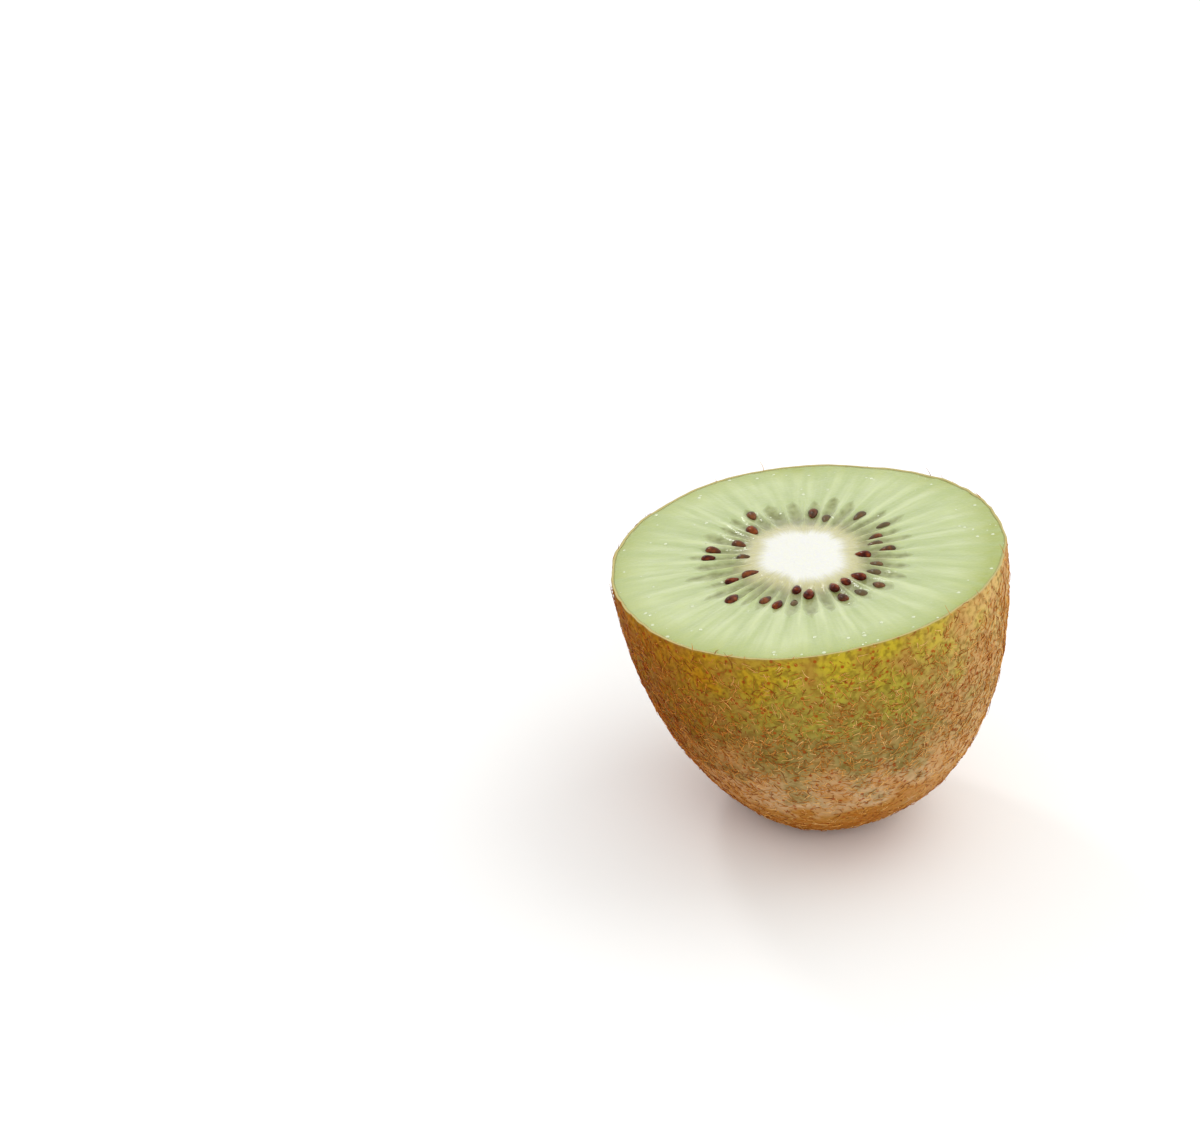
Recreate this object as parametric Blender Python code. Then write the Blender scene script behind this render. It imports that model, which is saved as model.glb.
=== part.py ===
"""Half of a kiwi fruit, cut across its middle and stood on its end.

The fruit is one solid: its skin, flesh and pale core have grown as one piece, so they are not parted here.
The cut face has a low crown on the core, one shallow groove for each seed chamber, and seeds fused into them.
Sizes are in metres and angles in radians. +Z is up, -Y is the side that is seen first.
"""

import math
import random

import bmesh
import bpy
from mathutils import Matrix, Vector

# Size of the cut section, which is an oval, and the length from the cut to the far end
SECTION_LONG_RADIUS = 0.0255
SECTION_SHORT_RADIUS = 0.0235
SECTION_TURN = math.radians(115)
HALF_LENGTH = 0.0361
END_BLUNTNESS = 2.1

# How the half stands: it leans to -X, on a flat spot where the soft end has settled
LEAN = math.radians(9.3)
REST_FLAT_DEPTH = 0.0014

# Unevenness of the skin: blunt ribs along the fruit, as height, number and direction of the first
SKIN_RIBS = (
    (0.00033, 3, math.radians(9)),
    (0.00013, 5, math.radians(33)),
)

# The fruit's axis bends a little to +X and, close to the end, back to -X, as shift and power of the depth
AXIS_BENDS = ((0.00035, 2), (-0.00040, 8))

# The end is broader than the cut from side to side
END_SPREAD = 0.0009
END_SPREAD_TURN = math.radians(6)

# The scar of the stalk, in a dimple at the end
DIMPLE_RADIUS = 0.0032
DIMPLE_DEPTH = 0.0028
STALK_RADIUS = 0.0013
STALK_HEIGHT = 0.0006

# The pale core and the seed chambers round it, on the cut face
CORE_LONG_RADIUS = 0.0081
CORE_SHORT_RADIUS = 0.0060
CORE_CROWN = 0.00025
CHAMBERS = 34
CHAMBER_WIDTH_SPREAD = 0.22
CHAMBER_LENGTH = 0.0078
CHAMBER_DEPTH = 0.0004
CHAMBER_SEED = 11

# Seeds: drops 2.1 mm long, lying along the chambers. Each spot is a chamber and a distance from the core
SEED_LENGTH = 0.0021
SEED_WIDTH = 0.00122
SEED_THICKNESS = 0.0009
SEED_PROUD = 0.00012
SEED_TIP_NARROWING = 0.35
SEED_YAW = math.radians(11)
SEED_SPOTS = (
    (0, 0.0024), (1, 0.0031), (2, 0.0053), (4, 0.0052), (6, 0.0031), (7, 0.0042),
    (10, 0.0060), (11, 0.0027), (13, 0.0022), (14, 0.0051), (15, 0.0009), (15, 0.0054),
    (18, 0.0012), (18, 0.0037), (20, 0.0064), (22, 0.0044), (23, 0.0051), (24, 0.0012),
    (24, 0.0041), (25, 0.0021), (27, 0.0014), (27, 0.0041), (28, 0.0010), (28, 0.0043),
    (29, 0.0014), (29, 0.0048), (30, 0.0024), (31, 0.0022), (32, 0.0005), (33, 0.0036),
)

# How finely the solid is divided
SPLITS_PER_CHAMBER = 3
BARREL_RINGS = 15
BARREL_LEAST_RADIUS = 0.30
END_RINGS = (0.245, 0.20, 0.16, 0.12, 0.08, 0.045)
COARSE_END_RINGS = 3
CORE_RINGS = (0.92, 0.62, 0.3)
CHAMBER_RINGS = (0.0, 0.10, 0.30, 0.55, 0.80, 1.0)
OUTER_RINGS = (0.55, 0.94)
SEED_SIDES = 6
SEED_RINGS = 3
SMOOTH_ANGLE = math.radians(14)

FLESH_COLOUR = (0.42, 0.55, 0.16, 1.0)
FLESH_ROUGHNESS = 0.35


def clear_scene():
    for found in list(bpy.data.objects):
        bpy.data.objects.remove(found, do_unlink=True)


def oval_radius(angle, long_radius, short_radius):
    """Distance from the centre to an oval that is turned as the section is."""
    across = angle - SECTION_TURN
    return 1 / math.hypot(math.cos(across) / long_radius, math.sin(across) / short_radius)


def skin_wave(angle, down):
    """How far the skin stands out of the plain form. down is 0 at the cut and 1 at the end."""
    ribs = sum(height * math.cos(count * (angle - first)) for height, count, first in SKIN_RIBS)
    spread = END_SPREAD * down**4 * math.cos(2 * (angle - END_SPREAD_TURN))
    return ribs * math.sqrt(max(0.0, 1 - down**4)) + spread * math.sqrt(max(0.0, 1 - down**8))


def axis_shift(down):
    return sum(shift * down**power for shift, power in AXIS_BENDS)


def rim_radius(angle):
    return oval_radius(angle, SECTION_LONG_RADIUS, SECTION_SHORT_RADIUS) + skin_wave(angle, 0)


def chamber_walls():
    """Angles of the walls between the seed chambers. The chambers differ in width."""
    draw = random.Random(CHAMBER_SEED)
    widths = [1 + draw.uniform(-1, 1) * CHAMBER_WIDTH_SPREAD for _ in range(CHAMBERS)]
    step = 2 * math.pi / sum(widths)
    walls = [0.0]
    for width in widths:
        walls.append(walls[-1] + width * step)
    return walls


def ring_angles(walls):
    """Angles of a fine ring: every wall, and even splits between two walls."""
    return [
        start + (end - start) * split / SPLITS_PER_CHAMBER
        for start, end in zip(walls, walls[1:])
        for split in range(SPLITS_PER_CHAMBER)
    ]


def stalk_scar(radius):
    """How far the end is pulled in at this distance from the axis: a dimple with a stub in it."""
    if radius >= DIMPLE_RADIUS:
        return 0.0
    bowl = DIMPLE_DEPTH * (1 - (radius / DIMPLE_RADIUS) ** 2) ** 2
    stub = STALK_HEIGHT if radius < STALK_RADIUS else 0.0
    return bowl - stub


def skin_point(angle, share, scarred=True):
    """A point of the skin where the body has shrunk to this share of its section."""
    down = (1 - share**2) ** (1 / END_BLUNTNESS)
    radius = share * oval_radius(angle, SECTION_LONG_RADIUS, SECTION_SHORT_RADIUS) + skin_wave(angle, down)
    height = -HALF_LENGTH * down + (stalk_scar(radius) if scarred else 0.0)
    return Vector((radius * math.cos(angle) + axis_shift(down), radius * math.sin(angle), height))


def chamber_sag(across, along):
    """Depth of the soft seed chamber under the face. across and along run from 0 to 1 in the chamber."""
    side = math.sin(math.pi * across) ** 0.6 if 0 < across < 1 else 0.0
    end = math.sin(math.pi * min(1.0, along) ** 0.8)
    return CHAMBER_DEPTH * side * max(0.0, end)


def face_point(angle, radius, height):
    return Vector((radius * math.cos(angle), radius * math.sin(angle), height))


def add_ring(form, points):
    return [form.verts.new(point) for point in points]


def join_rings(form, outer, inner):
    """Faces between two rings. The inner one may have one point for every few of the outer one."""
    few = len(outer) // len(inner)
    for place, here in enumerate(inner):
        after = inner[(place + 1) % len(inner)]
        edge = [outer[(place * few + step) % len(outer)] for step in range(few + 1)]
        if few == 1:
            form.faces.new((edge[0], edge[1], after, here))
            continue
        middle = few // 2
        for step in range(middle):
            form.faces.new((edge[step], edge[step + 1], here))
        form.faces.new((edge[middle], edge[middle + 1], after, here))
        for step in range(middle + 1, few):
            form.faces.new((edge[step], edge[step + 1], after))


def close_ring(form, ring, point):
    tip = form.verts.new(point)
    for place, here in enumerate(ring):
        form.faces.new((here, ring[(place + 1) % len(ring)], tip))


def barrel_shares():
    """Shares of the section from the cut downwards, evenly spaced along the curved side."""
    last = math.acos(BARREL_LEAST_RADIUS)
    return [math.cos(last * step / BARREL_RINGS) for step in range(1, BARREL_RINGS + 1)]


def add_skin_side(form, rim, angles, walls):
    ring = rim
    shares = [*barrel_shares(), *END_RINGS]
    for place, share in enumerate(shares):
        coarse = place >= len(shares) - COARSE_END_RINGS
        lower = add_ring(form, [skin_point(angle, share) for angle in (walls[:-1] if coarse else angles)])
        join_rings(form, ring, lower)
        ring = lower
    close_ring(form, ring, Vector((axis_shift(1), 0, -HALF_LENGTH + stalk_scar(0))))


def add_cut_face(form, rim, angles, walls):
    """Rings from the rim inwards: outer flesh, seed chambers, and the crowned core."""
    ring = rim
    splits = [split / SPLITS_PER_CHAMBER for split in range(SPLITS_PER_CHAMBER)] * CHAMBERS
    for share in reversed(OUTER_RINGS):
        points = []
        for angle in angles:
            start = oval_radius(angle, CORE_LONG_RADIUS, CORE_SHORT_RADIUS) + CHAMBER_LENGTH
            points.append(face_point(angle, start + (rim_radius(angle) - start) * share, 0))
        inner = add_ring(form, points)
        join_rings(form, ring, inner)
        ring = inner
    for along in reversed(CHAMBER_RINGS):
        points = []
        for angle, across in zip(angles, splits):
            radius = oval_radius(angle, CORE_LONG_RADIUS, CORE_SHORT_RADIUS) + CHAMBER_LENGTH * along
            points.append(face_point(angle, radius, -chamber_sag(across, along)))
        inner = add_ring(form, points)
        join_rings(form, ring, inner)
        ring = inner
    for share in CORE_RINGS:
        points = []
        for angle in walls[:-1]:
            radius = oval_radius(angle, CORE_LONG_RADIUS, CORE_SHORT_RADIUS) * share
            points.append(face_point(angle, radius, CORE_CROWN * (1 - share**2)))
        inner = add_ring(form, points)
        join_rings(form, ring, inner)
        ring = inner
    close_ring(form, ring, Vector((0, 0, CORE_CROWN)))


def new_object(name, form, place):
    bmesh.ops.recalc_face_normals(form, faces=form.faces)
    mesh = bpy.data.meshes.new(name)
    form.to_mesh(mesh)
    form.free()
    mesh.transform(place)
    made = bpy.data.objects.new(name, mesh)
    bpy.context.scene.collection.objects.link(made)
    return made


def resting_place():
    """Leans the half, and sets it so that the flat spot's plane is at height 0."""
    turn = Matrix.Rotation(-LEAN, 4, "Y")
    angles = ring_angles(chamber_walls())
    shares = [*barrel_shares(), *END_RINGS]
    lowest = min((turn @ skin_point(angle, share, scarred=False)).z for angle in angles for share in shares)
    return Matrix.Translation((0, 0, -lowest - REST_FLAT_DEPTH)) @ turn


def make_half(place):
    walls = chamber_walls()
    angles = ring_angles(walls)
    form = bmesh.new()
    rim = add_ring(form, [face_point(angle, rim_radius(angle), 0) for angle in angles])
    add_skin_side(form, rim, angles, walls)
    add_cut_face(form, rim, angles, walls)
    return new_object("kiwi_half", form, place)


def seed_places():
    """Where each seed lies on the face, as angle, distance from the core, yaw and size."""
    draw = random.Random(CHAMBER_SEED + 1)
    walls = chamber_walls()
    places = []
    for chamber, out in SEED_SPOTS:
        yaw = draw.uniform(-1, 1) * SEED_YAW
        size = draw.uniform(0.86, 1.1)
        places.append(((walls[chamber] + walls[chamber + 1]) / 2, out, yaw, size))
    return places


def make_seed(name, angle, out, yaw, size, place):
    """One seed: rings of a drop, narrow towards the core, along its own X axis."""
    form = bmesh.new()
    rings = []
    for step in range(1, SEED_RINGS + 1):
        turn = math.pi * step / (SEED_RINGS + 1)
        along = -math.cos(turn)
        width = math.sin(turn) * (1 + SEED_TIP_NARROWING * along)
        points = []
        for side in range(SEED_SIDES):
            round_turn = 2 * math.pi * side / SEED_SIDES
            points.append(
                Vector(
                    (
                        along * SEED_LENGTH / 2,
                        width * math.cos(round_turn) * SEED_WIDTH / 2,
                        width * math.sin(round_turn) * SEED_THICKNESS / 2,
                    )
                )
            )
        rings.append(add_ring(form, points))
    for outer, inner in zip(rings, rings[1:]):
        join_rings(form, outer, inner)
    close_ring(form, rings[0], Vector((-SEED_LENGTH / 2, 0, 0)))
    close_ring(form, rings[-1], Vector((SEED_LENGTH / 2, 0, 0)))
    radius = oval_radius(angle, CORE_LONG_RADIUS, CORE_SHORT_RADIUS) + out
    height = -chamber_sag(0.5, out / CHAMBER_LENGTH) + SEED_PROUD
    local = (
        Matrix.Translation(face_point(angle, radius, height))
        @ Matrix.Rotation(angle + yaw, 4, "Z")
        @ Matrix.Scale(size, 4)
    )
    return new_object(name, form, place @ local)


def apply_boolean(target, operation, source):
    """Applies one Boolean with an object or a whole collection, and removes what it used."""
    cut = target.modifiers.new(operation.lower(), "BOOLEAN")
    cut.operation = operation
    cut.solver = "EXACT"
    whole = isinstance(source, bpy.types.Collection)
    if whole:
        cut.operand_type = "COLLECTION"
        cut.collection = source
    else:
        cut.object = source
    graph = bpy.context.evaluated_depsgraph_get()
    mesh = bpy.data.meshes.new_from_object(target.evaluated_get(graph))
    target.modifiers.remove(cut)
    target.data = mesh
    for used in list(source.objects) if whole else [source]:
        bpy.data.objects.remove(used, do_unlink=True)
    if whole:
        bpy.data.collections.remove(source)


def fuse_seeds(half, place):
    seeds = bpy.data.collections.new("seeds")
    bpy.context.scene.collection.children.link(seeds)
    for number, (angle, out, yaw, size) in enumerate(seed_places()):
        seed = make_seed(f"seed_{number}", angle, out, yaw, size, place)
        bpy.context.scene.collection.objects.unlink(seed)
        seeds.objects.link(seed)
    apply_boolean(half, "UNION", seeds)


def cut_rest_flat(half):
    """Cuts the end level, as the soft fruit has settled on the surface."""
    bpy.ops.mesh.primitive_cube_add(size=4 * SECTION_LONG_RADIUS)
    cutter = bpy.context.active_object
    cutter.name = "rest_cutter"
    cutter.location.z = -2 * SECTION_LONG_RADIUS
    cutter.hide_render = True
    cutter.display_type = "WIRE"
    bpy.context.view_layer.update()
    apply_boolean(half, "DIFFERENCE", cutter)


def centre_over_origin(half):
    """Moves the half so that its box is centred over the origin. Its foot stays at height 0."""
    xs = [vertex.co.x for vertex in half.data.vertices]
    ys = [vertex.co.y for vertex in half.data.vertices]
    middle = Vector(((min(xs) + max(xs)) / 2, (min(ys) + max(ys)) / 2, 0))
    half.data.transform(Matrix.Translation(-middle))


def give_material(half):
    material = bpy.data.materials.new("kiwi_flesh")
    material.use_nodes = True
    shader = material.node_tree.nodes["Principled BSDF"]
    shader.inputs["Base Color"].default_value = FLESH_COLOUR
    shader.inputs["Roughness"].default_value = FLESH_ROUGHNESS
    half.data.materials.clear()
    half.data.materials.append(material)


def main():
    clear_scene()
    place = resting_place()
    half = make_half(place)
    cut_rest_flat(half)
    fuse_seeds(half, place)
    centre_over_origin(half)
    give_material(half)
    half.data.shade_smooth()
    half.data.set_sharp_from_angle(angle=SMOOTH_ANGLE)


main()
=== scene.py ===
# %% [markdown]
# # Half a kiwi fruit, cut face up
#
# A kiwi fruit is a berry. Its hairy skin is thinner than a fingernail, and under it lies wet green flesh.
# Across the fruit, thirty or so seed chambers stand round a pale core like spokes round a hub.
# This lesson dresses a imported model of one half. Flesh, skin, stalk, seeds, hairs and juice are its pieces.

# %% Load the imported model
import math
import random
from functools import partial

import bpy
from mathutils import Matrix, Vector, noise


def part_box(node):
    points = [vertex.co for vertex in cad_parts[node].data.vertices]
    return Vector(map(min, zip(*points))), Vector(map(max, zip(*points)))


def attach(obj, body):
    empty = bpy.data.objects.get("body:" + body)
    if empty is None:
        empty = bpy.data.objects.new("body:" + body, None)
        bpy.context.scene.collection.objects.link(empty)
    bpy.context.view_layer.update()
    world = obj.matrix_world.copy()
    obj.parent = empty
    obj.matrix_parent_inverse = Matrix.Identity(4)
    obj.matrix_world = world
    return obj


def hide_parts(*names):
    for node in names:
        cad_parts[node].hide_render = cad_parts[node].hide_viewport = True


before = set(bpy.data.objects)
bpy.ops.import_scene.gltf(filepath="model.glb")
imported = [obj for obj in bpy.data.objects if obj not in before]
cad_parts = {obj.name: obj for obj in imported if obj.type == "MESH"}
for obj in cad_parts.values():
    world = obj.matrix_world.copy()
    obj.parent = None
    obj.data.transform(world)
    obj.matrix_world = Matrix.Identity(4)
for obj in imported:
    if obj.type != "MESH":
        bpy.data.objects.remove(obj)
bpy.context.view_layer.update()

# %% [markdown]
# ## The form of the fruit
#
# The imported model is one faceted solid. The pieces here are far finer, so they can't be copies of its mesh.
# They are worked out again from the same sizes: an oval section, a blunt end, three soft ribs, and an axis
# that bends a little. What is worked out from the same sizes fits by itself.

# %% Sizes of the half, in metres and radians
SECTION_LONG_RADIUS = 0.0255
SECTION_SHORT_RADIUS = 0.0235
SECTION_TURN = math.radians(115)
HALF_LENGTH = 0.0361
END_BLUNTNESS = 2.1
LEAN = math.radians(9.3)
SKIN_RIBS = (
    (0.00033, 3, math.radians(9)),
    (0.00013, 5, math.radians(33)),
)
AXIS_BENDS = ((0.00035, 2), (-0.00040, 8))
END_SPREAD = 0.0009
END_SPREAD_TURN = math.radians(6)
DIMPLE_RADIUS = 0.0032
DIMPLE_DEPTH = 0.0028
RIM_WOBBLE = ((0.0060, 0.00030), (0.0022, 0.00012))
SKIN_THICKNESS = 0.0003


def oval_radius(angle, long_radius, short_radius):
    """Distance from the centre to an oval that is turned as the section is."""
    across = angle - SECTION_TURN
    return 1 / math.hypot(math.cos(across) / long_radius, math.sin(across) / short_radius)


def skin_wave(angle, down):
    """How far the skin stands out of the plain form. down is 0 at the cut and 1 at the end."""
    ribs = sum(height * math.cos(count * (angle - first)) for height, count, first in SKIN_RIBS)
    spread = END_SPREAD * down**4 * math.cos(2 * (angle - END_SPREAD_TURN))
    return ribs * math.sqrt(max(0.0, 1 - down**4)) + spread * math.sqrt(max(0.0, 1 - down**8))


def axis_shift(down):
    """How far the bent axis has moved sideways."""
    return sum(shift * down**power for shift, power in AXIS_BENDS)


def rim_wobble(angle):
    """The soft edge gives under the knife here and there, so the rim isn't a true oval."""
    rim = SECTION_SHORT_RADIUS * Vector((math.cos(angle), math.sin(angle), 0))
    return sum(height * noise.noise(rim / spacing) for spacing, height in RIM_WOBBLE)


def body_point(angle, share, inset=0.0):
    """A point of the side where the body has shrunk to this share, set in under the skin."""
    down = (1 - share**2) ** (1 / END_BLUNTNESS)
    radius = share * oval_radius(angle, SECTION_LONG_RADIUS, SECTION_SHORT_RADIUS) + skin_wave(angle, down)
    radius += rim_wobble(angle) * (1 - down) ** 4
    dimple = DIMPLE_DEPTH * max(0.0, 1 - (radius / DIMPLE_RADIUS) ** 2) ** 2
    height = -HALF_LENGTH * down + dimple + inset * down
    radius = max(0.0, radius - inset * share)
    return Vector((radius * math.cos(angle) + axis_shift(down), radius * math.sin(angle), height))


# %% [markdown]
# ## Where it stands
#
# The half leans to one side on its soft end. Its own frame has the cut face at height 0, so one matrix
# leans it and moves it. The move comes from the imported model's box: the leaning form's box is laid on it.

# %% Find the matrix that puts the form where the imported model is
TRIAL_STEP = 2
TRIAL_ANGLES = [math.radians(step) for step in range(0, 360, TRIAL_STEP)]
TRIAL_SHARES = [math.cos(math.radians(step)) for step in range(0, 60, TRIAL_STEP)]

leaning = Matrix.Rotation(-LEAN, 4, "Y")
trial = [leaning @ body_point(angle, share) for angle in TRIAL_ANGLES for share in TRIAL_SHARES]
trial_low = Vector([min(point[axis] for point in trial) for axis in range(3)])
trial_high = Vector([max(point[axis] for point in trial) for axis in range(3)])
half_low, half_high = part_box("kiwi_half")
move = (half_low + half_high - trial_low - trial_high) / 2
move.z = half_high.z - trial_high.z
PLACE = Matrix.Translation(move) @ leaning
face_centre = PLACE @ Vector((0, 0, 0))
print("centre of the cut face, mm:", [round(1000 * value, 2) for value in face_centre])

# %% [markdown]
# ## Camera
#
# The view looks down at the cut face by 27 degrees, from about a third of a metre. A long lens keeps the
# oval of the face true. The face's centre is to be seen at one pixel of the frame, which gives the place.

# %% Add the camera
FRAME_SIZE = (1200, 1147)
FACE_CENTRE_PIXEL = (804.6, 554.8)
VIEW_ACROSS = math.radians(24)
CAMERA_PITCH = math.radians(27.4)
CAMERA_DEPTH = 0.3408
SENSOR_WIDTH = 36.0


def put_in_scene(name, data):
    """Adds an object that shows this data."""
    made = bpy.data.objects.new(name, data)
    bpy.context.scene.collection.objects.link(made)
    return made


ahead = Vector((0, math.cos(CAMERA_PITCH), -math.sin(CAMERA_PITCH)))
upward = Vector((0, math.sin(CAMERA_PITCH), math.cos(CAMERA_PITCH)))
pixel = 2 * CAMERA_DEPTH * math.tan(VIEW_ACROSS / 2) / FRAME_SIZE[0]
right_offset = (FACE_CENTRE_PIXEL[0] - FRAME_SIZE[0] / 2) * pixel
up_offset = (FRAME_SIZE[1] / 2 - FACE_CENTRE_PIXEL[1]) * pixel

camera_data = bpy.data.cameras.new("camera")
camera_data.sensor_width = SENSOR_WIDTH
camera_data.lens = SENSOR_WIDTH / 2 / math.tan(VIEW_ACROSS / 2)
camera = put_in_scene("camera", camera_data)
camera.location = face_centre - CAMERA_DEPTH * ahead - Vector((right_offset, 0, 0)) - up_offset * upward
camera.rotation_euler = (math.pi / 2 - CAMERA_PITCH, 0, 0)
bpy.context.scene.camera = camera
print("camera, mm:", [round(1000 * value, 1) for value in camera.location])

# %% [markdown]
# ## Helpers for nodes and colours
#
# Colours are written as sRGB hex, as a colour picker shows them, and Blender's sockets want linear values.
# Every node of every tree is added by one function: it sets properties, and feeds inputs with values,
# colours, sockets or whole nodes. A node stands for its first output that is in use.
# Where names repeat, an input goes by its number: 6 and 7 are a Mix node's colours, 1 and 2 the limits that
# a Map Range takes, and 3 and 4 those that it gives. NOISE_RANGE is where a noise texture mostly stays.

# %% One function turns hex to linear, one feeds inputs, and one adds a node
NOISE_RANGE = {1: 0.3, 2: 0.7}
SMOOTH = {"interpolation_type": "SMOOTHSTEP"}


def linear(code):
    """Linear red, green, blue and alpha of an sRGB hex colour."""
    channels = [int(code[place : place + 2], 16) / 255 for place in (1, 3, 5)]
    curve = [value / 12.92 if value <= 0.04045 else ((value + 0.055) / 1.055) ** 2.4 for value in channels]
    return (*curve, 1.0)


def feed_node(node, feeds):
    """Feeds each named input with a value, a hex colour, a socket or a node."""
    for name, feed in feeds.items():
        if isinstance(feed, bpy.types.Node):
            feed = next(output for output in feed.outputs if output.enabled)
        if isinstance(feed, str) and feed.startswith("#"):
            feed = linear(feed)
        if isinstance(feed, bpy.types.NodeSocket):
            node.id_data.links.new(feed, node.inputs[name])
        else:
            node.inputs[name].default_value = feed


def add_node(tree, kind, feeds=None, stops=(), **settings):
    """Adds a node to a tree. feeds go to its inputs, and stops fill a colour ramp."""
    node = tree.nodes.new(kind)
    for name, value in settings.items():
        setattr(node, name, value)
    for spare in range(len(stops) - 2):
        node.color_ramp.elements.new(0.5 + spare / 100)
    for element, (position, colour) in zip(node.color_ramp.elements if stops else (), stops):
        element.position = position
        element.color = linear(colour) if isinstance(colour, str) else (colour, colour, colour, 1)
    feed_node(node, feeds or {})
    return node


def new_material(name):
    """A new material, what adds nodes to it, its Object coordinates and its shader."""
    material = bpy.data.materials.new(name)
    material.use_nodes = True
    add = partial(add_node, material.node_tree)
    spot = add("ShaderNodeTexCoord").outputs["Object"]
    return material, add, spot, material.node_tree.nodes["Principled BSDF"]


# %% [markdown]
# ## Seed chambers
#
# The chambers differ in width, as those of any fruit do. Their walls are drawn with the same seeded
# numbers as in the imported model, so that each seed lies in the middle of its chamber.
# A point of the face has two numbers: the chamber it is in, and the zone from the core to the rim.
# They are kept as a UV map, and the flesh's pattern is drawn in them.

# %% Chamber walls, and the angles that the rings are divided at
CHAMBERS = 34
CHAMBER_WIDTH_SPREAD = 0.22
CHAMBER_LENGTH = 0.0078
CHAMBER_DEPTH = 0.0004
CHAMBER_SEED = 11
CORE_LONG_RADIUS = 0.0081
CORE_SHORT_RADIUS = 0.0060
CORE_CROWN = 0.00025
SPLITS_PER_CHAMBER = 16


def chamber_walls():
    draw = random.Random(CHAMBER_SEED)
    widths = [1 + draw.uniform(-1, 1) * CHAMBER_WIDTH_SPREAD for _ in range(CHAMBERS)]
    step = 2 * math.pi / sum(widths)
    walls = [0.0]
    for width in widths:
        walls.append(walls[-1] + width * step)
    return walls


WALLS = chamber_walls()
SPOKES = [
    (chamber + split / SPLITS_PER_CHAMBER, start + (end - start) * split / SPLITS_PER_CHAMBER)
    for chamber, (start, end) in enumerate(zip(WALLS, WALLS[1:]))
    for split in range(SPLITS_PER_CHAMBER)
]
print("spokes round the fruit:", len(SPOKES))


# %% [markdown]
# ## A mesh from rings
#
# Flesh and skin are both ovals within ovals. Both are made from rings of points that are joined by quads,
# with a point at each open end. The chamber count runs on to its last wall, so the map has no torn seam.


# %% One function joins rings into a closed, mapped mesh
def new_mesh(name, points, faces):
    mesh = bpy.data.meshes.new(name)
    mesh.from_pydata([tuple(point) for point in points], [], faces)
    return mesh


def mesh_from_rings(name, rings, zones, first_tip=None, last_tip=None):
    """Quads between rings. With no tips, the last ring is joined to the first one."""
    count = len(SPOKES)
    chambers = [chamber for chamber, _ in SPOKES] + [float(CHAMBERS)]
    points = [point for ring in rings for point in ring]
    faces, marks = [], []
    pairs = list(zip(range(len(rings)), range(1, len(rings))))
    if first_tip is None:
        pairs.append((len(rings) - 1, 0))
    for upper, lower in pairs:
        for place in range(count):
            corners = ((upper, place), (lower, place), (lower, place + 1), (upper, place + 1))
            faces.append([ring * count + spoke % count for ring, spoke in corners])
            marks += [(chambers[spoke], zones[ring]) for ring, spoke in corners]
    for tip, ring, flip in ((first_tip, 0, False), (last_tip, len(rings) - 1, True)):
        if tip is None:
            continue
        points.append(tip[0])
        for place in range(count):
            pair = (place, (place + 1) % count)
            sides = (chambers[place], chambers[place + 1])
            if flip:
                pair, sides = pair[::-1], sides[::-1]
            faces.append((len(points) - 1, ring * count + pair[0], ring * count + pair[1]))
            marks += [(sum(sides) / 2, tip[1]), (sides[0], zones[ring]), (sides[1], zones[ring])]
    mesh = new_mesh(name, points, faces)
    section = mesh.uv_layers.new(name="section")
    section.data.foreach_set("uv", [value for mark in marks for value in mark])
    mesh.transform(PLACE)
    mesh.shade_smooth()
    return mesh


def add_piece(name, mesh, material):
    """Makes a piece of the half from a mesh that is already in its place."""
    mesh.materials.clear()
    mesh.materials.append(material)
    piece = put_in_scene(name, mesh)
    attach(piece, "root")
    triangles = sum(len(face.vertices) - 2 for face in mesh.polygons)
    print(f"{name}: {triangles} triangles")
    return piece


# %% [markdown]
# ## Flesh: what it looks like
#
# A knife leaves the flesh wet and slightly rough. Light goes a millimetre or two into it, so it glows.
# The seed chambers are clear dark jelly between pale walls, which fan out and fade before the rim.
# The core is dense and nearly white, with a yellow fringe of short fibres.
# All of it is one material, drawn in the chamber and zone numbers, because no part of it has a hard edge.

# %% Material: wet cut flesh
FIBRES_AROUND = 16.0
CELL_SIZE = 0.00045
CORE_EDGE_WANDER = 0.13
CORE_EDGE_FRAY = 0.045
WALL_SWAY = 0.10
SHORTEST_JELLY, LONGEST_JELLY = -0.10, 0.16
CLOUDS_PER_METRE = 700.0


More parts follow.
